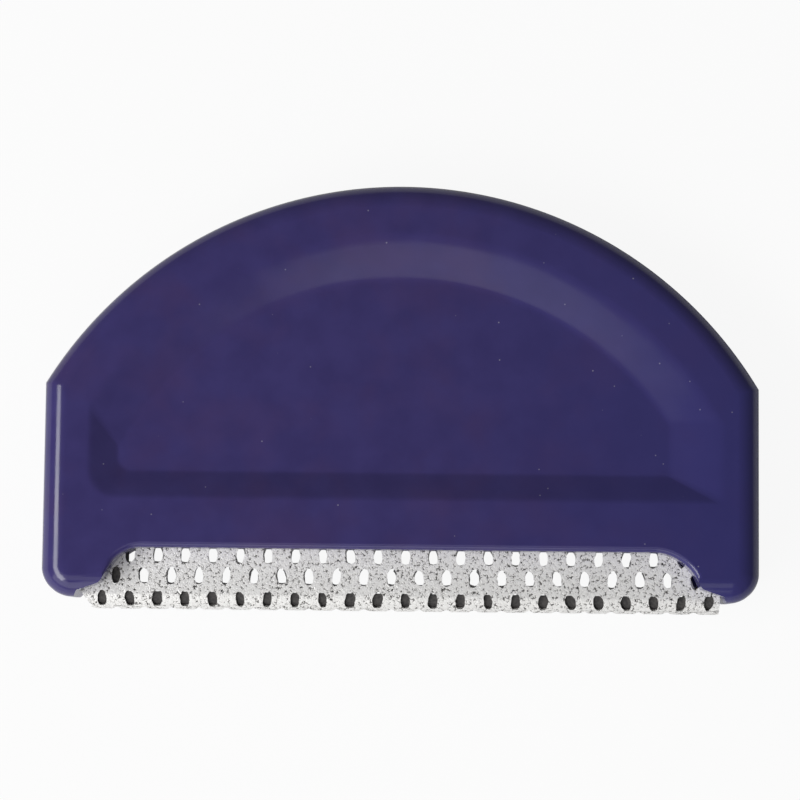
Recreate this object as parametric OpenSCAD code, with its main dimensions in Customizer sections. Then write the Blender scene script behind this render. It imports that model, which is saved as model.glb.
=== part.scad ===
// Sweater comb: a half-moon handle, moulded in two halves, that clamps a folded strip of perforated metal.
// The comb lies on its back. X runs across it, Y runs up to the top of the arc, Z comes out of its front.
// Heights in the source are measured from the lowest edge of the metal fold.

/* [Handle] */
// Width across the two straight sides
handle_w = 90; // [75:1:108]
// Height from the fold of the strip to the top of the arc
handle_h = 53.8; // [46:0.5:64]
// Height of the corner where the arc meets a side
side_h = 28.3; // [24:0.5:34]
// Thickness through both halves
handle_t = 12; // [11:0.5:15]
// Radius of the long outer edges
edge_r = 2.5; // [1.5:0.1:3]
// Radius of the edges under the feet
foot_edge_r = 1.4; // [0.6:0.1:1.8]
// Bevel on each half along the parting line
seam_bevel = 0.2; // [0.1:0.05:0.3]
// Thickness of the moulded wall
wall = 1.8; // [1.2:0.1:2]

/* [Recess] */
// Depth of the dished panel on each face
recess_depth = 1.6; // [0.8:0.1:1.8]
// Width of the flat border round the arc and the sides
border_w = 5.7; // [4.6:0.1:7]
// Height of the lower edge of the panel
recess_low_h = 13.4; // [12.8:0.1:16]
// Width of the sloping wall under the arc
slope_arc_w = 6.2; // [4:0.1:8]
// Width of the sloping wall along the sides
slope_side_w = 2.4; // [1.5:0.1:4]
// Width of the sloping wall along the bottom
slope_low_w = 4; // [2:0.1:5]
// Radius of the panel's corners where the slope starts
recess_corner_r = 3.8; // [2.5:0.1:5]
// Radius of the corners of its flat floor
floor_corner_r = 2.5; // [1.5:0.1:3.5]

/* [Window and feet] */
// Height of the top edge of the window that shows the strip
window_top_h = 7.6; // [6.6:0.1:8.2]
// Radius of the left upper corner of the window
window_left_r = 4.2; // [2:0.1:5]
// Radius of the right upper corner of the window
window_right_r = 5.8; // [2:0.1:6]
// Steepness of the left end of the window, in degrees
window_left_slope = 59; // [50:1:75]
// Steepness of the right end of the window, in degrees
window_right_slope = 68; // [50:1:75]
// Height where the steep ends turn outwards
throat_h = 3.1; // [2.8:0.1:3.6]
// Distance from a side to the throat
throat_inset = 7.5; // [6.5:0.1:9]
// Height at the outer end of the flare
flare_h = 2.2; // [2:0.1:2.5]
// Width of the slanted end between the flare and a foot
flare_tip_w = 0.5; // [0.2:0.1:1]
// Radius where a steep end turns into the flare
throat_r = 1.2; // [0.6:0.1:1.6]
// Radius of the bevel round the window
window_bevel = 0.8; // [0.4:0.1:1]
// Height of the feet above the fold
foot_h = 1.3; // [0.8:0.1:1.9]
// Distance from a side to the inner tip of a foot
foot_tip_inset = 4.1; // [3.6:0.1:4.4]
// Distance from a side to the outer end of the flat sole
foot_toe_inset = 2.5; // [1.5:0.1:3]
// Height of the bevelled outer corner above the sole
foot_toe_h = 2.1; // [1:0.1:3]
// Radius that blends a side into the bevelled corner
toe_r = 1.5; // [0.5:0.1:3]

/* [Perforated strip] */
// Thickness of the metal
strip_t = 0.3; // [0.2:0.05:0.4]
// Outer radius of the fold
fold_r = 2.2; // [1.9:0.1:2.6]
// Height of the upper edges of the folded legs
leg_h = 11; // [10.8:0.1:11.4]
// Distance from a side of the handle to an end of the strip
strip_inset = 4.8; // [4.5:0.1:5.5]
// Radius of the clipped lower corner at the left end
strip_corner_r = 2.2; // [1:0.1:3]
// Distance between holes in a row
hole_pitch = 3.47; // [2.9:0.02:4.2]
// Distance between rows
row_pitch = 2.68; // [2.6:0.02:2.8]
// Width of a hole
hole_w = 1.3; // [1.2:0.05:1.5]
// Height of a hole
hole_h = 2.4; // [1.8:0.05:2.4]
// Distance from the left end of the strip to the first hole of the odd rows
first_hole = 2.7; // [1.2:0.1:4]
// How far the middle row sits behind the fold line
fold_shift = 0.15; // [0:0.05:0.3]
// Rows of holes on each leg, above the row on the fold
leg_rows = 4; // [4:1:4]

/* [Core] */
// Free space between the core and the metal round it
core_gap = 0.05; // [0.03:0.01:0.15]
// Height of the flat top of the bar in the fold
core_bar_h = 2.2; // [2.1:0.1:2.6]
// Height of the underside of the clamped upper bar
core_top_h = 8.2; // [8:0.1:8.6]
// Width of the left post of the core
left_post_w = 5.3; // [3:0.1:6]
// Width of the right post of the core
right_post_w = 2.3; // [2:0.1:3]
// Free length between the core and each end of the strip
core_end_gap = 0.3; // [0.1:0.1:0.6]

/* [Joining the halves] */
// Diameter of the locating pins
pin_d = 3; // [2:0.1:3.6]
// Length of a pin beyond the parting face
pin_l = 2.2; // [1.5:0.1:2.3]
// Free space round a pin
pin_gap = 0.05; // [0.03:0.01:0.15]
// Free space beyond the end of a pin
pin_end_gap = 0.3; // [0.1:0.1:0.5]
// Wall of the sockets round the pins
boss_wall = 1.3; // [1:0.1:2]
// How far a socket runs into the outer wall
boss_sink = 0.6; // [0.3:0.1:1]
// Height of the lower pins above the wall of the slot
low_pin_h = 3.5; // [3:0.5:8]
// Angle between the pins along the arc, seen from the middle of the arc
pin_turn = 34; // [25:1:38]
// Diameter of the pegs that hold the strip by its holes
peg_d = 1; // [0.6:0.05:1]
// Depth to which a peg enters the core
peg_l = 0.9; // [0.5:0.1:1.1]
// Free space round a peg and behind its end
peg_gap = 0.1; // [0.05:0.01:0.15]
// Pegs along each half
peg_count = 5; // [3:1:7]
// Free space between the strip and the slot that holds it
slot_gap = 0.03; // [0.02:0.01:0.1]
// Free space above the strip and the core
slot_top_gap = 0.1; // [0.05:0.05:0.3]
// Free space beyond each end of the strip
slot_end_gap = 0.15; // [0.05:0.05:0.4]
// Thickness of the wall above the slot
stop_w = 3.2; // [2:0.1:3.6]
// Number of stiffening ribs in each half
rib_count = 4; // [2:1:4]
// Thickness of a rib
rib_t = 1.4; // [1:0.1:2]
// Distance between the ribs
rib_pitch = 15; // [12:1:20]
// Free space between facing ribs
rib_gap = 0.5; // [0.2:0.1:1]

/* [Hidden] */
$fa = 2.25;
$fs = 0.5;
// A hair's overlap
eps = 0.01;
// How far a cut runs past what it cuts
over = 5;
// How far a rounding stops short of a flat side
skim = 0.02;
// How far a pin, a peg or a backing runs into the piece that carries it
root = 1;

half_w = handle_w / 2;
half_t = handle_t / 2;
arc_rise = handle_h - side_h;
arc_r = (half_w * half_w + arc_rise * arc_rise) / (2 * arc_rise);
arc_h = handle_h - arc_r;
recess_r = arc_r - border_w;
recess_half_w = half_w - border_w;

// Wall of the panel: share of the slope's width against share of the depth, rounded over at the border
SLOPE = [[-0.3, -0.1], [0.12, 0.04], [0.3, 0.18], [1, 1]];
// Rounding of the window's edge: share of the bevel outwards against share of its depth
BEVEL = [[0, 1], [0.3, 0.4], [1.1, -0.05]];

slot_half_w = half_w - strip_inset + slot_end_gap;
slot_half_t = fold_r + slot_gap;
slot_top_h = leg_h + slot_top_gap;
cavity_low_h = slot_top_h + stop_w;
core_half_w = half_w - strip_inset - core_end_gap;
core_half_t = fold_r - strip_t - core_gap;
mid_r = fold_r - strip_t / 2;
quarter_fold = mid_r * PI / 2;

row_x0 = -half_w + strip_inset + first_hole;
strip_right = half_w - strip_inset;
odd_count = floor((strip_right - row_x0 - hole_w / 2) / hole_pitch) + 1;
even_count = floor((strip_right - row_x0 + hole_w / 2 - hole_pitch / 2) / hole_pitch) + 1;

// Pins: three along the arc, two above the feet
pin_edge = wall + boss_wall + pin_d / 2 - boss_sink;
pin_ring_r = arc_r - pin_edge;
PINS = [
    for (turn = [-pin_turn, 0, pin_turn]) [pin_ring_r * sin(turn), arc_h + pin_ring_r * cos(turn)],
    for (side = [-1, 1]) [side * (half_w - pin_edge), cavity_low_h + low_pin_h]
];

// Height and depth of a point on the strip, a given length along the metal from the fold line
function strip_height(s) =
    s < quarter_fold ? fold_r - mid_r * cos(deg(s / mid_r)) : fold_r + s - quarter_fold;
function strip_depth(s) = mid_r * sin(deg(s / mid_r));
function deg(radians) = radians * 180 / PI;

// Holes of a row: odd rows start at the first hole, even rows half a pitch later
function row_is_odd(row) = row % 2 == 1;
function row_hole_count(row) = row_is_odd(row) ? odd_count : even_count;
function hole_x(row, i) = row_x0 + (i + (row_is_odd(row) ? 0 : 0.5)) * hole_pitch;
// Height of a point, a length along the metal from the middle of a row: side is 1 in front and -1 behind
function row_height(row, side, along = 0) = strip_height(row * row_pitch - side * fold_shift + along);
// Pegs: spread evenly over the holes of the top row
function pegs(side) = [
    for (i = [0:peg_count - 1])
        let (hole = round((i + 0.5) * row_hole_count(leg_rows) / peg_count - 0.5))
            [hole_x(leg_rows, hole), row_height(leg_rows, side)]
];

function unit(v) = v / norm(v);

// Puts heights where the middle of the comb's box is the origin
module placed() {
    translate([0, -handle_h / 2, half_t]) children();
}

// The sliver between a corner b, with a before it and c after it, and the arc that rounds it
module corner_sliver(a, b, c, r) {
    to_a = unit(a - b);
    to_c = unit(c - b);
    half_angle = acos(to_a * to_c) / 2;
    centre = b + unit(to_a + to_c) * r / sin(half_angle);
    run = r / tan(half_angle);
    turns_left = cross(to_a, to_c) > 0;
    difference() {
        polygon([b, b + (turns_left ? to_a : to_c) * run, centre, b + (turns_left ? to_c : to_a) * run]);
        translate(centre) circle(r);
    }
}

// Rounded and bevelled section of one half: reach is its width, 0 is the parting face
module edge_section(reach, r) {
    difference() {
        translate([-over, 0]) square([reach + over, half_t]);
        corner_sliver([reach, 0], [reach, half_t], [0, half_t], r);
        polygon([[reach - seam_bevel - eps, -eps], [reach + eps, -eps], [reach + eps, seam_bevel + eps]]);
    }
}

// The half-moon block of one half, above its parting face
module half_block() {
    intersection() {
        union() {
            translate([0, arc_h, 0])
                rotate_extrude() intersection() {
                    edge_section(arc_r, edge_r);
                    square([arc_r + over, half_t + over]);
                }
            if (arc_h > 0)
                translate([-arc_r, -eps, 0]) cube([2 * arc_r, arc_h + eps, half_t]);
        }
        translate([0, handle_h + over, 0]) rotate([90, 0, 0])
            linear_extrude(handle_h + 2 * over)
                for (side = [0, 1]) mirror([side, 0]) edge_section(half_w, edge_r);
        translate([-half_w - over, 0, 0]) rotate([90, 0, 90])
            linear_extrude(handle_w + 2 * over) translate([handle_h + over, 0])
                mirror([1, 0]) edge_section(handle_h + over - foot_h, foot_edge_r);
    }
}

// Bevelled lower outer corner of a foot, cut from the block
module toe_cut() {
    side_x = half_w + skim;
    toe = [half_w - foot_toe_inset, foot_h];
    heel = [side_x, foot_h + foot_toe_h];
    polygon([toe, [toe[0], -over], [side_x + over, -over], [side_x + over, heel[1]], heel]);
    corner_sliver([side_x, handle_h], heel, toe, toe_r);
}

// The opening between the feet, and its upper part without the flares
function throat(side) = [side * (half_w - throat_inset), throat_h];
function window_corner(side, slope) =
    throat(side) + (window_top_h - throat_h) * [-side / tan(slope), 1];

module window_upper() {
    left = window_corner(-1, window_left_slope);
    right = window_corner(1, window_right_slope);
    difference() {
        polygon([left, throat(-1), throat(1), right]);
        corner_sliver(right, left, throat(-1), window_left_r);
        corner_sliver(left, right, throat(1), window_right_r);
    }
}

module window_flare() {
    tip = half_w - foot_tip_inset;
    end = tip - flare_tip_w;
    polygon([
        throat(-1) + [0, eps], [-end, flare_h], [-tip, foot_h], [-tip, -over],
        [tip, -over], [tip, foot_h], [end, flare_h], throat(1) + [0, eps]
    ]);
    corner_sliver([-end, flare_h], throat(-1), window_corner(-1, window_left_slope), throat_r);
    corner_sliver([end, flare_h], throat(1), window_corner(1, window_right_slope), throat_r);
}

module window_cut() {
    translate([0, 0, -over]) linear_extrude(half_t + 2 * over) union() {
        window_upper();
        window_flare();
    }
    for (i = [0:1])
        hull() for (step = [BEVEL[i], BEVEL[i + 1]])
            translate([0, 0, half_t - step[1] * window_bevel])
                linear_extrude(eps) offset(r = step[0] * window_bevel) window_upper();
}

// Outline of the dished panel at a share of the slope: 0 at the border, 1 at the floor
module panel_outline(share, grow = 0) {
    r = recess_r - share * slope_arc_w + grow;
    w = recess_half_w - share * slope_side_w + grow;
    low = recess_low_h + share * slope_low_w - grow;
    corner = recess_corner_r + share * (floor_corner_r - recess_corner_r);
    offset(r = corner) offset(delta = -corner) intersection() {
        translate([0, arc_h]) circle(r);
        translate([-w, low]) square([2 * w, handle_h]);
    }
}

module panel_cut() {
    for (i = [0:len(SLOPE) - 2])
        hull() for (step = [SLOPE[i], SLOPE[i + 1]])
            translate([0, 0, half_t - step[1] * recess_depth]) linear_extrude(eps) panel_outline(step[0]);
}

// What stays solid behind the panel
module panel_backing() {
    hull() {
        translate([0, 0, half_t]) linear_extrude(eps) panel_outline(0, root);
        translate([0, 0, half_t - recess_depth - wall]) linear_extrude(eps) panel_outline(1, root);
    }
}

// Hollow of one half, with its pin bosses and ribs left standing
module cavity() {
    difference() {
        intersection() {
            translate([0, arc_h, -eps]) cylinder(r = arc_r - wall, h = half_t - wall + eps);
            translate([-half_w + wall, cavity_low_h, -over]) cube([handle_w - 2 * wall, handle_h, handle_t]);
        }
        panel_backing();
        for (at = PINS) translate([at[0], at[1], -over]) cylinder(d = pin_d + 2 * boss_wall, h = handle_t);
        for (i = [0:rib_count - 1])
            translate([(i - (rib_count - 1) / 2) * rib_pitch - rib_t / 2, 0, rib_gap / 2])
                cube([rib_t, handle_h, half_t]);
    }
}

module strip_slot() {
    translate([-slot_half_w, -over, -over]) cube([2 * slot_half_w, slot_top_h + over, slot_half_t + over]);
}

// One moulded half, above its parting face: side is 1 for the front and -1 for the back
module moulded_half(side) {
    difference() {
        half_block();
        for (turn = [0, 1]) mirror([turn, 0, 0])
            translate([0, 0, -over]) linear_extrude(handle_t + over) toe_cut();
        window_cut();
        panel_cut();
        cavity();
        strip_slot();
    }
    for (at = pegs(side)) translate([at[0], at[1], core_half_t - peg_l])
        cylinder(d = peg_d, h = slot_half_t - core_half_t + peg_l + root);
}

module front_shell() {
    color("#35305f") placed() difference() {
        moulded_half(1);
        for (at = PINS) translate([at[0], at[1], -over])
            cylinder(d = pin_d + 2 * pin_gap, h = over + pin_l + pin_end_gap);
    }
}

module back_shell() {
    color("#35305f") placed() union() {
        mirror([0, 0, 1]) moulded_half(-1);
        for (at = PINS) translate([at[0], at[1], -root]) cylinder(d = pin_d, h = pin_l + root);
    }
}

// A pointed oval, drawn about its middle
module lens(w, h) {
    r = (w * w + h * h) / (4 * w);
    intersection() {
        translate([r - w / 2, 0]) circle(r);
        translate([w / 2 - r, 0]) circle(r);
    }
}

// Holes of one leg as seen from the front
module leg_holes(side) {
    for (row = [1:leg_rows]) {
        low = row_height(row, side, -hole_h / 2);
        high = row_height(row, side, hole_h / 2);
        for (i = [0:row_hole_count(row) - 1])
            translate([hole_x(row, i), (low + high) / 2]) lens(hole_w, high - low);
    }
}

// Holes on the fold as seen from below
module fold_holes() {
    back = strip_depth(-fold_shift - hole_h / 2);
    front = strip_depth(-fold_shift + hole_h / 2);
    for (i = [0:row_hole_count(0) - 1])
        translate([hole_x(0, i), (back + front) / 2]) lens(hole_w, front - back);
}

// Section of a solid filling of the fold, out to radius r and up to a height
module fold_section(r, top) {
    translate([fold_r, 0]) circle(r);
    translate([fold_r, -r]) square([top - fold_r, 2 * r]);
}

// Turns a section drawn with height along x so that it runs along X between two ends
module along_x(from, to) {
    translate([from, 0, 0]) rotate([0, 90, 0]) rotate([0, 0, 90]) linear_extrude(to - from) children();
}

module comb_strip() {
    color("#cfcecd") placed() difference() {
        along_x(-strip_right, strip_right) difference() {
            fold_section(fold_r, leg_h);
            fold_section(fold_r - strip_t, leg_h + over);
        }
        for (side = [-1, 1]) mirror([0, 0, (1 - side) / 2]) linear_extrude(over) leg_holes(side);
        translate([0, fold_r / 2, 0]) rotate([90, 0, 0]) linear_extrude(fold_r) fold_holes();
        translate([0, 0, -over]) linear_extrude(2 * over)
            corner_sliver([-strip_right, leg_h], [-strip_right, 0], [0, 0], strip_corner_r);
    }
}

// Front view of the core: two bars and two posts round one long opening
module core_outline() {
    corner_r = strip_corner_r + core_end_gap;
    difference() {
        translate([-core_half_w, 0]) square([2 * core_half_w, leg_h]);
        translate([-core_half_w + left_post_w, core_bar_h])
            square([2 * core_half_w - left_post_w - right_post_w, core_top_h - core_bar_h]);
        corner_sliver([-core_half_w, leg_h], [-core_half_w, 0], [0, 0], corner_r);
    }
}

module core_frame() {
    color("#2b2a2c") placed() difference() {
        intersection() {
            along_x(-core_half_w, core_half_w) fold_section(core_half_t, leg_h);
            translate([0, 0, -over]) linear_extrude(2 * over) core_outline();
        }
        for (side = [-1, 1], at = pegs(side)) mirror([0, 0, (1 - side) / 2])
            translate([at[0], at[1], core_half_t - peg_l - peg_gap])
                cylinder(d = peg_d + 2 * peg_gap, h = peg_l + peg_gap + over);
    }
}

front_shell();
back_shell();
comb_strip();
core_frame();
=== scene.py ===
"""Looks of the sweater comb: a glossy moulded handle that clamps a strip of gritted, perforated metal."""

from math import asin, hypot, radians, sqrt, tan

import bmesh
import bpy
from mathutils import Matrix, Vector, noise


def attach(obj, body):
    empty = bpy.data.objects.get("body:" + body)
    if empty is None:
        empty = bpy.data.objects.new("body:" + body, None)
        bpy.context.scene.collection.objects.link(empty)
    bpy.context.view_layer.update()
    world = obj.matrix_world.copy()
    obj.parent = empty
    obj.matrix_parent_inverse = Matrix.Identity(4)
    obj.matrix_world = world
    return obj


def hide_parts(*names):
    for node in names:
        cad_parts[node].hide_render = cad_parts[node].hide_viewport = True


MM = 0.001

# The handle, in millimetres: x across, height above the lowest edge of the metal, depth from the seam
HALF_W = 45
HANDLE_H = 53.8
SIDE_H = 28.3
HALF_T = 6
ARC_RISE = HANDLE_H - SIDE_H
ARC_R = (HALF_W ** 2 + ARC_RISE ** 2) / (2 * ARC_RISE)
ARC_H = HANDLE_H - ARC_R
SLOT_X = 40.4
SLOT_TOP = 11.1
SLOT_DEPTH = 2.23
EDGE_R = 3
SEAM_BEVEL = 0.2
# Height where the flat border is parted in two
LINK_H = 18.9

# Lower corners of a foot, as distance from the middle and height, and the radius that rounds them in plan
TOE_CORNERS = [(45, 3.45), (42.5, 1.4)]
TOE_R = 3.2

# Window: height of its top in each half
FRONT_WINDOW_TOP = 7.6
BACK_WINDOW_TOP = 8
# Its corners below the top, and at the top of the front half, from the left foot to the right foot:
# x, height and radius in plan
WINDOW = [
    (-40.9, -5, 0),
    (-40.9, 1.4, 0),
    (-SLOT_X, 2.2, 0),
    (-37.5, 3.15, 1.2),
    (-34.86, FRONT_WINDOW_TOP, 4.2),
    (35.72, FRONT_WINDOW_TOP, 5.8),
    (37.5, 3.15, 1.2),
    (SLOT_X, 2.2, 0),
    (40.9, 1.4, 0),
    (40.9, -5, 0),
]
WINDOW_BEVEL = 0.8

# Dished panel: where it starts in the flat border, and where its slope reaches the floor
PANEL_START = {
    "radius": 46.8, "left": -39.7, "right": 41.2, "low": 13.3,
    "corner": 3.8, "arc_corner": 3.0, "end_corner": 1.0,
}
PANEL_FLOOR = {
    "radius": 40.5, "left": -35.7, "right": 33.9, "low": 17.1,
    "corner": 1.7, "arc_corner": 0.9, "end_corner": 0.4,
}
PANEL_DEPTH = 1.6
# Its slope: share of the width against share of the depth
SLOPE = [
    (-0.04, 0), (0.07, 0.002), (0.12, 0.01), (0.17, 0.035),
    (0.22, 0.075), (0.28, 0.135), (0.35, 0.212), (0.5, 0.385),
    (0.65, 0.56), (0.8, 0.735), (0.92, 0.875), (0.97, 0.93),
    (1.01, 0.968), (1.045, 0.99), (1.08, 0.998), (1.13, 1),
]

# Perforated strip: radius of its fold, distance between holes and place of one hole of the odd rows
FOLD_R = 2.2
HOLE_PITCH = 3.47
FIRST_HOLE = -2.8
# Rows from the lowest: middle and half height as they are cut, then as they are to show
ROWS = [(1.64, 1.07, 1.3, 1.02), (4.19, 1.2, 4.2, 1.08), (6.87, 1.2, 6.83, 1.08)]
# Half width of a hole as it is cut, then as it is to show, and how round it is: 1 is an ellipse
CUT_HALF_W = 0.65
SEEN_HALF_W = 0.6
ROUNDNESS = 0.92
# Unevenness: of a rim, of a hole's lean in x and in height, and of its width
RIM_WOBBLE = 0.1
LEAN_X = 0.3
LEAN_H = 0.15
GROWTH = 0.25
# How far the holes of the back leg spread from the middle
BACK_SPREAD = 1.0105
# The metal above this height is held in the handle and stays even
EVEN_H = 8.2
# The left end, from this x on, is worn back by a share of how far a point lies below a height
END_X = -39
END_WEAR_H = 2.6
END_WEAR = 0.3

# Fineness of the curves
ARC_STEPS = 100
PANEL_STEPS = 96
CORNER_SEGMENTS = 10
EDGE_SEGMENTS = 8
RIM_SEGMENTS = 5
# Edges that turn by more degrees than this are shaded as sharp
SHARP_ANGLE = 24

# The camera stands above the comb, a little towards its working edge
CAMERA_DISTANCE = 350 * MM
CAMERA_OFFSET = Vector((-0.32, 0.32, 0)) * MM
CAMERA_AIM = Vector((0, 0.2, 0)) * MM
CAMERA_PITCH = 5.22
CAMERA_YAW = 0.53
CAMERA_ROLL = 0.63
SENSOR = 36.0
FOCAL_PIXELS = 2700
FRAME_PIXELS = 800

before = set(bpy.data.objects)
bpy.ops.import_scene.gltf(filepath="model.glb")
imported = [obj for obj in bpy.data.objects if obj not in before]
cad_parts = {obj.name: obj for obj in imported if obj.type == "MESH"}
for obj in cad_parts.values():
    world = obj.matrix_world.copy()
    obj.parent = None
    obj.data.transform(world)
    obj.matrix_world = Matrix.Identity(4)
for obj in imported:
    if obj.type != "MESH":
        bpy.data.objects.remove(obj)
scene = bpy.context.scene
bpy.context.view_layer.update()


def at(x, height, depth=0.0):
    """A point of the comb, from millimetres across, above the metal's lowest edge and out from the seam."""
    return Vector((x, height - HANDLE_H / 2, HALF_T + depth)) * MM


def linear(red, green, blue):
    """A colour as it is read off a screen, 0 to 255, in the values that a shader takes."""
    def channel(value):
        value /= 255
        return value / 12.92 if value <= 0.04045 else ((value + 0.055) / 1.055) ** 2.4
    return (channel(red), channel(green), channel(blue), 1)


# Materials

def new_material(name):
    material = bpy.data.materials.new(name)
    material.use_nodes = True
    nodes = material.node_tree.nodes
    links = material.node_tree.links
    return material, nodes, links, nodes["Principled BSDF"]


def noise_texture(nodes, links, place, scale, detail=2.0, roughness=0.5):
    texture = nodes.new("ShaderNodeTexNoise")
    texture.inputs["Scale"].default_value = scale
    texture.inputs["Detail"].default_value = detail
    texture.inputs["Roughness"].default_value = roughness
    links.new(place.outputs["Object"], texture.inputs["Vector"])
    return texture


def ramp(nodes, links, source, *stops):
    """Turns a value into a colour: each stop is a position and the colour there."""
    result = nodes.new("ShaderNodeValToRGB")
    elements = result.color_ramp.elements
    while len(elements) < len(stops):
        elements.new(0.5)
    for element, (position, colour) in zip(elements, stops):
        element.position = position
        element.color = colour
    links.new(source, result.inputs["Fac"])
    return result


def blend(nodes, links, factor, one, other):
    """Goes from one colour to the other; each is a colour or an output."""
    mix = nodes.new("ShaderNodeMix")
    mix.data_type = "RGBA"
    links.new(factor, mix.inputs[0])
    for socket, value in ((mix.inputs[6], one), (mix.inputs[7], other)):
        if isinstance(value, tuple):
            socket.default_value = value
        else:
            links.new(value, socket)
    return mix.outputs[2]


def spread(nodes, links, source, start, end):
    """Carries a value from one range to another."""
    result = nodes.new("ShaderNodeMapRange")
    names = ("From Min", "From Max", "To Min", "To Max")
    for name, value in zip(names, start + end):
        result.inputs[name].default_value = value
    links.new(source, result.inputs["Value"])
    return result.outputs["Result"]


def relief(nodes, links, source, strength, depth):
    """A fine relief of a depth in millimetres."""
    bump = nodes.new("ShaderNodeBump")
    bump.inputs["Strength"].default_value = strength
    bump.inputs["Distance"].default_value = depth * MM
    links.new(source, bump.inputs["Height"])
    return bump.outputs["Normal"]


def handle_plastic():
    """Glossy violet plastic, clouded, dusty and dulled by handling."""
    material, nodes, links, shader = new_material("handle_plastic")
    place = nodes.new("ShaderNodeTexCoord")

    # Clouded pigment: fine mottling and broad warm patches; the colour also turns bluer towards the right
    # side
    mottle = noise_texture(nodes, links, place, 260, 4)
    tint = ramp(
        nodes, links, mottle.outputs["Fac"],
        (0.35, linear(61, 54, 110)), (0.65, linear(66, 59, 117)),
    )
    patches = noise_texture(nodes, links, place, 90, 3, 0.6)
    warm = ramp(nodes, links, patches.outputs["Fac"], (0.47, (0, 0, 0, 1)), (0.66, (0.4, 0.4, 0.4, 1)))
    colour = blend(nodes, links, warm.outputs["Color"], tint.outputs["Color"], linear(76, 58, 106))
    apart = nodes.new("ShaderNodeSeparateXYZ")
    links.new(place.outputs["Object"], apart.inputs["Vector"])
    side = spread(nodes, links, apart.outputs["X"], (5 * MM, HALF_W * MM), (0, 0.8))
    colour = blend(nodes, links, side, colour, linear(55, 54, 116))

    # Dust: sparse pale specks
    specks = nodes.new("ShaderNodeTexVoronoi")
    specks.inputs["Scale"].default_value = 420
    links.new(place.outputs["Object"], specks.inputs["Vector"])
    dust = ramp(nodes, links, specks.outputs["Distance"], (0.028, (0.4, 0.4, 0.4, 1)), (0.045, (0, 0, 0, 1)))
    colour = blend(nodes, links, dust.outputs["Color"], colour, linear(200, 198, 206))
    links.new(colour, shader.inputs["Base Color"])

    # Handling has dulled the gloss here and there
    rub = noise_texture(nodes, links, place, 140, 5, 0.65)
    gloss = spread(nodes, links, rub.outputs["Fac"], (0.3, 0.7), (0.1, 0.2))
    links.new(gloss, shader.inputs["Roughness"])

    ripple = noise_texture(nodes, links, place, 420, 3)
    bump = relief(nodes, links, ripple.outputs["Fac"], 0.25, 0.02)
    links.new(bump, shader.inputs["Normal"])

    shader.inputs["IOR"].default_value = 1.49
    return material


def gritted_metal():
    """Sheet metal with a coat of pale grit, with painted glints on its grains and painted shade between
    them.
    """
    material, nodes, links, shader = new_material("gritted_metal")
    place = nodes.new("ShaderNodeTexCoord")

    # Grains of pale grit, the brightest near white as painted glints, with dark, broken lines between them
    # that are painted shade in the crevices between grains
    grit_and_crevice_shade = nodes.new("ShaderNodeTexVoronoi")
    grit_and_crevice_shade.feature = "DISTANCE_TO_EDGE"
    grit_and_crevice_shade.inputs["Scale"].default_value = 3300
    links.new(place.outputs["Object"], grit_and_crevice_shade.inputs["Vector"])
    patches = noise_texture(nodes, links, place, 2300, 3, 0.6)
    height = nodes.new("ShaderNodeMath")
    height.operation = "MULTIPLY_ADD"
    height.inputs[1].default_value = 0.9
    links.new(grit_and_crevice_shade.outputs["Distance"], height.inputs[0])
    links.new(patches.outputs["Fac"], height.inputs[2])
    shade = ramp(
        nodes, links, height.outputs["Value"],
        (0.42, linear(50, 48, 47)), (0.51, linear(240, 238, 235)), (0.58, linear(255, 254, 252)),
    )
    links.new(shade.outputs["Color"], shader.inputs["Base Color"])

    bump = relief(nodes, links, height.outputs["Value"], 0.5, 0.12)
    links.new(bump, shader.inputs["Normal"])

    shader.inputs["Metallic"].default_value = 0.2
    shader.inputs["Roughness"].default_value = 0.45
    return material


def core_plastic():
    """Dark matt plastic with dust in its grain."""
    material, nodes, links, shader = new_material("core_plastic")
    place = nodes.new("ShaderNodeTexCoord")
    grain = noise_texture(nodes, links, place, 3000)
    shade = ramp(
        nodes, links, grain.outputs["Fac"],
        (0.3, linear(40, 38, 40)), (0.75, linear(78, 75, 73)),
    )
    links.new(shade.outputs["Color"], shader.inputs["Base Color"])
    shader.inputs["Roughness"].default_value = 0.6
    return material


def backdrop_white():
    """A floor that shows almost white and still takes a shadow."""
    material, nodes, links, shader = new_material("backdrop_white")
    shader.inputs["Base Color"].default_value = (0.85, 0.85, 0.85, 1)
    shader.inputs["Roughness"].default_value = 0.7
    shader.inputs["Specular IOR Level"].default_value = 0.2
    white = nodes.new("ShaderNodeEmission")
    white.inputs["Color"].default_value = (1, 1, 1, 1)
    ray = nodes.new("ShaderNodeLightPath")
    seen = nodes.new("ShaderNodeMath")
    seen.operation = "MULTIPLY"
    seen.inputs[1].default_value = 0.92
    links.new(ray.outputs["Is Camera Ray"], seen.inputs[0])
    mix = nodes.new("ShaderNodeMixShader")
    links.new(seen.outputs["Value"], mix.inputs["Fac"])
    links.new(shader.outputs["BSDF"], mix.inputs[1])
    links.new(white.outputs["Emission"], mix.inputs[2])
    links.new(mix.outputs["Shader"], nodes["Material Output"].inputs["Surface"])
    return material


def dress(piece, material):
    piece.data.materials.clear()
    piece.data.materials.append(material)


# Pieces

def new_piece(name, form):
    mesh = bpy.data.meshes.new(name)
    form.to_mesh(mesh)
    form.free()
    piece = bpy.data.objects.new(name, mesh)
    scene.collection.objects.link(piece)
    return piece


def shade_smooth(piece):
    """Smooth shading that keeps flat faces flat and sharp edges sharp."""
    for face in piece.data.polygons:
        face.use_smooth = True
    piece.data.set_sharp_from_angle(angle=radians(SHARP_ANGLE))
    finish = piece.modifiers.new("even_shading", "WEIGHTED_NORMAL")
    finish.keep_sharp = True


def bevel_edges(form, edges, radius, segments):
    bmesh.ops.bevel(
        form, geom=edges, offset=radius * MM, offset_type="OFFSET", segments=segments,
        profile=0.5, affect="EDGES", clamp_overlap=False, loop_slide=True, material=-1,
    )


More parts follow.
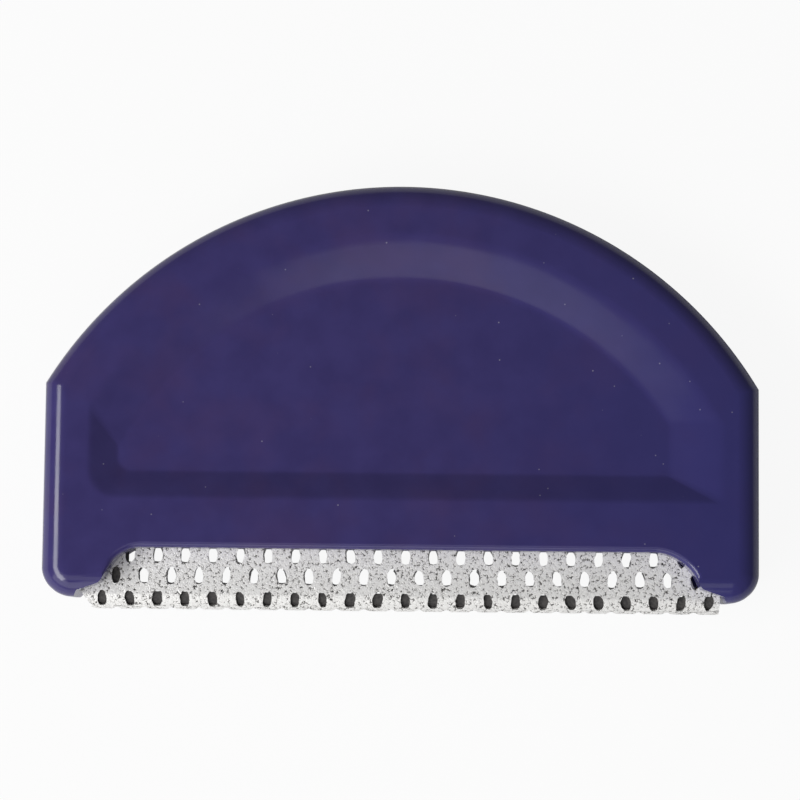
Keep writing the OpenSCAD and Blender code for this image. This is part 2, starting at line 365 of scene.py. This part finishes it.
def raise_outline(form, faces, rise):
    """Makes a solid of flat faces, up to a rise in millimetres."""
    raised = bmesh.ops.extrude_face_region(form, geom=faces, use_keep_orig=True)["geom"]
    verts = [item for item in raised if isinstance(item, bmesh.types.BMVert)]
    bmesh.ops.translate(form, vec=(0, 0, rise * MM), verts=verts)
    bmesh.ops.recalc_face_normals(form, faces=form.faces)


def arc_points(form, radius, left, right, steps, depth):
    """A row of points along an arc round the middle of the handle's arc, from the right to the left."""
    first = form.verts.new(at(right, ARC_H + sqrt(radius ** 2 - right ** 2), depth))
    bmesh.ops.spin(
        form, geom=[first], cent=at(0, ARC_H, depth), axis=(0, 0, 1), dvec=(0, 0, 0),
        angle=asin(right / radius) - asin(left / radius), steps=steps, use_merge=False, use_duplicate=False,
    )
    row = [first]
    while True:
        onward = [edge.other_vert(row[-1]) for edge in row[-1].link_edges]
        onward = [vert for vert in onward if vert not in row[-2:]]
        if not onward:
            return row
        row.append(onward[0])


def round_corner(form, vert, radius, segments=CORNER_SEGMENTS):
    """Rounds a corner of a flat outline in plan."""
    sides = [(edge.other_vert(vert).co - vert.co).normalized() for edge in vert.link_edges]
    half_angle = sides[0].angle(sides[1]) / 2
    bmesh.ops.bevel(
        form, geom=[vert], offset=radius * MM / tan(half_angle), offset_type="OFFSET",
        segments=segments, profile=0.5, affect="VERTICES", material=-1,
    )


def panel_loop(form, share, depth):
    """Outline of the dished panel at a share of its slope, as a face."""
    others = set(form.faces)
    value = {name: start + share * (PANEL_FLOOR[name] - start) for name, start in PANEL_START.items()}
    row = arc_points(form, value["radius"], value["left"], value["right"], PANEL_STEPS, depth)
    row.append(form.verts.new(at(value["left"], value["low"], depth)))
    row.append(form.verts.new(at(value["right"], value["low"], depth)))
    rounded = [(row[-3], "arc_corner"), (row[-2], "corner"), (row[-1], "end_corner")]
    form.faces.new(row)
    for vert, corner in rounded:
        round_corner(form, vert, value[corner])
    return next(face for face in form.faces if face not in others)


def nearest(verts, point):
    """The corner nearest to a point."""
    return min(verts, key=lambda vert: (vert.co - point).length)


def join_outlines(form, outer, inner):
    """A ring of faces between two outlines that have their points in the same order."""
    def apart(turn):
        return sum((a.co - b.co).length_squared for a, b in zip(outer, inner[turn:] + inner[:turn]))
    turn = min(range(len(inner)), key=apart)
    inner = inner[turn:] + inner[:turn]
    for index, vert in enumerate(outer):
        form.faces.new((outer[index - 1], vert, inner[index], inner[index - 1]))


def solid_block():
    """One half before its window is cut: the rounded half-moon block with its dished panel."""
    form = bmesh.new()
    row = arc_points(form, ARC_R, -HALF_W, HALF_W, ARC_STEPS, 0)
    toes = [form.verts.new(at(-x, height)) for x, height in TOE_CORNERS]
    toes += [form.verts.new(at(x, height)) for x, height in reversed(TOE_CORNERS)]
    form.faces.new(row + toes)
    for vert in toes:
        round_corner(form, vert, TOE_R, EDGE_SEGMENTS)
    raise_outline(form, form.faces[:], HALF_T)
    for depth, radius, segments in ((HALF_T, EDGE_R, EDGE_SEGMENTS), (0, SEAM_BEVEL, 1)):
        level = at(0, 0, depth).z
        edges = [
            edge for edge in form.edges
            if all(abs(vert.co.z - level) < 0.001 * MM for vert in edge.verts)
        ]
        bevel_edges(form, edges, radius, segments)
    sink_panel(form)
    return new_piece("block", form)


def sink_panel(form):
    """Sinks the dished panel into the flat border."""
    border = max(form.faces, key=lambda face: face.calc_center_median().z)
    for turn in (-1, 1):
        edge = max(
            (edge for edge in border.edges if abs(edge.verts[0].co.x - edge.verts[1].co.x) < 0.001 * MM
             and edge.verts[0].co.x * turn > 0),
            key=lambda edge: edge.calc_length(),
        )
        lower_end = min(edge.verts, key=lambda vert: vert.co.y)
        share = (at(0, LINK_H).y - lower_end.co.y) / edge.calc_length()
        bmesh.utils.edge_split(edge, lower_end, share)
    outline = border.edges[:]
    outline_verts = border.verts[:]
    loops = [panel_loop(form, share, HALF_T - down * PANEL_DEPTH) for share, down in SLOPE]
    loop_edges = loops[0].edges[:]
    loop_verts = [face.verts[:] for face in loops]
    bmesh.ops.delete(form, geom=[border] + loops[:-1], context="FACES_ONLY")
    for outer, inner in zip(loop_verts, loop_verts[1:]):
        join_outlines(form, outer, inner)

    # The border is a ring, so two links part it into faces above and below them
    ends = [at(turn * HALF_W, LINK_H, HALF_T) for turn in (-1, 1)]
    links = [
        form.edges.new([nearest(verts, end) for verts in (outline_verts, loop_verts[0])])
        for end in ends
    ]
    for above in (True, False):
        part = [
            edge for edge in outline + loop_edges
            if (edge.verts[0].co.y + edge.verts[1].co.y > 2 * at(0, LINK_H).y) == above
        ]
        bmesh.ops.contextual_create(form, geom=part + links)
    bmesh.ops.recalc_face_normals(form, faces=form.faces)


def prism(name, corners, low_depth, high_depth):
    """A straight block with an outline of x, height and radius in plan."""
    form = bmesh.new()
    points = [(form.verts.new(at(x, height, low_depth)), radius) for x, height, radius in corners]
    form.faces.new([vert for vert, _ in points])
    for vert, radius in points:
        if radius:
            round_corner(form, vert, radius)
    raise_outline(form, form.faces[:], high_depth - low_depth)
    return new_piece(name, form)


def cut(block, tools):
    """The block's mesh with the tools cut away."""
    for tool in tools:
        cutting = block.modifiers.new(tool.name, "BOOLEAN")
        cutting.operation = "DIFFERENCE"
        cutting.solver = "EXACT"
        cutting.object = tool
    mesh = bpy.data.meshes.new_from_object(block.evaluated_get(bpy.context.evaluated_depsgraph_get()))
    for piece in [block] + tools:
        bpy.data.objects.remove(piece)
    return mesh


def handle_half(name, node, side, window_top):
    """One moulded half: its dished panel, its feet, its share of the window and the slot for the strip."""
    corners = [
        (x, window_top if height == FRONT_WINDOW_TOP else height, radius)
        for x, height, radius in WINDOW
    ]
    slot = [(-SLOT_X, -5, 0), (SLOT_X, -5, 0), (SLOT_X, SLOT_TOP, 0), (-SLOT_X, SLOT_TOP, 0)]
    tools = [prism("window", corners, -2, HALF_T + 2), prism("slot", slot, -2, SLOT_DEPTH)]
    mesh = cut(solid_block(), tools)

    form = bmesh.new()
    form.from_mesh(mesh)
    top = at(0, 0, HALF_T).z
    rim = [
        edge for edge in form.edges
        if all(abs(vert.co.z - top) < 0.002 * MM and vert.co.y < at(0, 9).y for vert in edge.verts)
        and edge.calc_face_angle(0) > 1.2
    ]
    bevel_edges(form, rim, WINDOW_BEVEL, RIM_SEGMENTS)
    if side < 0:
        seam = Matrix.Translation((0, 0, -HALF_T * MM))
        bmesh.ops.scale(form, vec=(1, 1, -1), space=seam, verts=form.verts)
        bmesh.ops.reverse_faces(form, faces=form.faces)
    piece = new_piece(name, form)
    shade_smooth(piece)
    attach(piece, "root")
    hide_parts(node)
    return piece


def worn_rim(x, height, side):
    """Moves a point of a rim, since punched and gritted holes are rounder and less even than drawn ones."""
    for row, (middle, half, seen_middle, seen_half) in enumerate(ROWS):
        if abs(height - middle) > half + 0.02:
            continue
        first = FIRST_HOLE + (0.5 * HOLE_PITCH if row == 1 else 0)
        hole = first + round((x - first) / HOLE_PITCH) * HOLE_PITCH
        if abs(x - hole) > CUT_HALF_W + 0.02:
            continue
        seed = Vector((hole * 1.7, middle * 2.3, side * 9.1))
        lean, growth = noise.noise(seed), noise.noise(seed + Vector((0, 0, 31)))
        rise = max(-1, min(1, (height - middle) / half))
        across = SEEN_HALF_W * max(0, 1 - rise * rise) ** (ROUNDNESS / 2)
        along = seen_half * abs(rise) ** ROUNDNESS * (1 if rise > 0 else -1)
        across *= (1 + GROWTH * growth) * (1 if x > hole else -1) * (abs(x - hole) > 0.02)
        x = hole + across + LEAN_X * lean * along
        height = seen_middle + along * (1 + LEAN_H * lean)
        spot = Vector((x, height, side * 5)) * 1.9
        x += RIM_WOBBLE * noise.noise(spot)
        height += RIM_WOBBLE * noise.noise(spot + Vector((40, 0, 0)))
        break
    return x, height


def perforated_strip():
    """The folded metal with uneven holes and ends, as punching, grit and use leave it."""
    form = bmesh.new()
    form.from_mesh(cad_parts["comb_strip"].data)
    bmesh.ops.remove_doubles(form, verts=form.verts, dist=0.0005 * MM)
    for vert in form.verts:
        x = vert.co.x / MM
        height = vert.co.y / MM + HANDLE_H / 2
        depth = vert.co.z / MM - HALF_T
        side = 1 if depth > 0 else -1
        if height > EVEN_H:
            continue
        if abs(x) < -END_X and (abs(depth) > 1 or height > 1):
            radius = hypot(min(height - FOLD_R, 0), depth)
            x, height = worn_rim(x, height, side)
            depth = side * sqrt(max(radius ** 2 - min(height - FOLD_R, 0) ** 2, 0.01))
            if side < 0:
                x *= BACK_SPREAD
        elif x < END_X:
            x += END_WEAR * max(0, END_WEAR_H - height)
        vert.co = at(x, height, depth)
    piece = new_piece("strip_metal", form)
    shade_smooth(piece)
    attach(piece, "root")
    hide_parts("comb_strip")
    return piece


plastic = handle_plastic()
dress(handle_half("front_moulding", "front_shell", 1, FRONT_WINDOW_TOP), plastic)
dress(handle_half("back_moulding", "back_shell", -1, BACK_WINDOW_TOP), plastic)

dress(perforated_strip(), gritted_metal())
dress(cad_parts["core_frame"], core_plastic())


# Stage

def floor():
    """The pale floor that the comb lies on, a hair below it."""
    form = bmesh.new()
    bmesh.ops.create_grid(form, x_segments=1, y_segments=1, size=3)
    bmesh.ops.translate(form, vec=(0, 0, -0.02 * MM), verts=form.verts)
    piece = new_piece("floor", form)
    dress(piece, backdrop_white())


def lamp(name, place, size, power):
    """A softbox, aimed at the comb."""
    data = bpy.data.lights.new(name, "AREA")
    data.shape = "RECTANGLE"
    data.size, data.size_y = size
    data.energy = power
    piece = bpy.data.objects.new(name, data)
    scene.collection.objects.link(piece)
    piece.location = place
    piece.rotation_euler = (-Vector(place)).to_track_quat("-Z", "Y").to_euler()


def camera():
    """The camera, fitted to the outline of the comb."""
    turn = (
        Matrix.Rotation(radians(CAMERA_YAW), 3, "Y")
        @ Matrix.Rotation(radians(CAMERA_PITCH), 3, "X")
        @ Matrix.Rotation(radians(CAMERA_ROLL), 3, "Z")
    )
    data = bpy.data.cameras.new("camera")
    data.sensor_width = SENSOR
    data.lens = FOCAL_PIXELS / FRAME_PIXELS * SENSOR
    data.clip_start = 0.01
    piece = bpy.data.objects.new("camera", data)
    scene.collection.objects.link(piece)
    place = turn @ (CAMERA_OFFSET + Vector((0, 0, CAMERA_DISTANCE))) + CAMERA_AIM
    piece.matrix_world = Matrix.Translation(place) @ turn.to_4x4()
    scene.camera = piece


floor()
lamp("left_softbox", (-0.46, -0.19, 0.49), (0.62, 0.24), 3.2)
lamp("lower_softbox", (-0.3, -0.56, 0.3), (0.9, 0.4), 1.5)
lamp("front_softbox", (-0.068, -0.318, 0.563), (0.49, 0.23), 0.24)
camera()

world = bpy.data.worlds.new("studio")
world.use_nodes = True
sky = world.node_tree.nodes["Background"]
sky.inputs["Color"].default_value = (0.9, 0.9, 0.9, 1)
sky.inputs["Strength"].default_value = 0.14
scene.world = world

scene.view_settings.view_transform = "Standard"
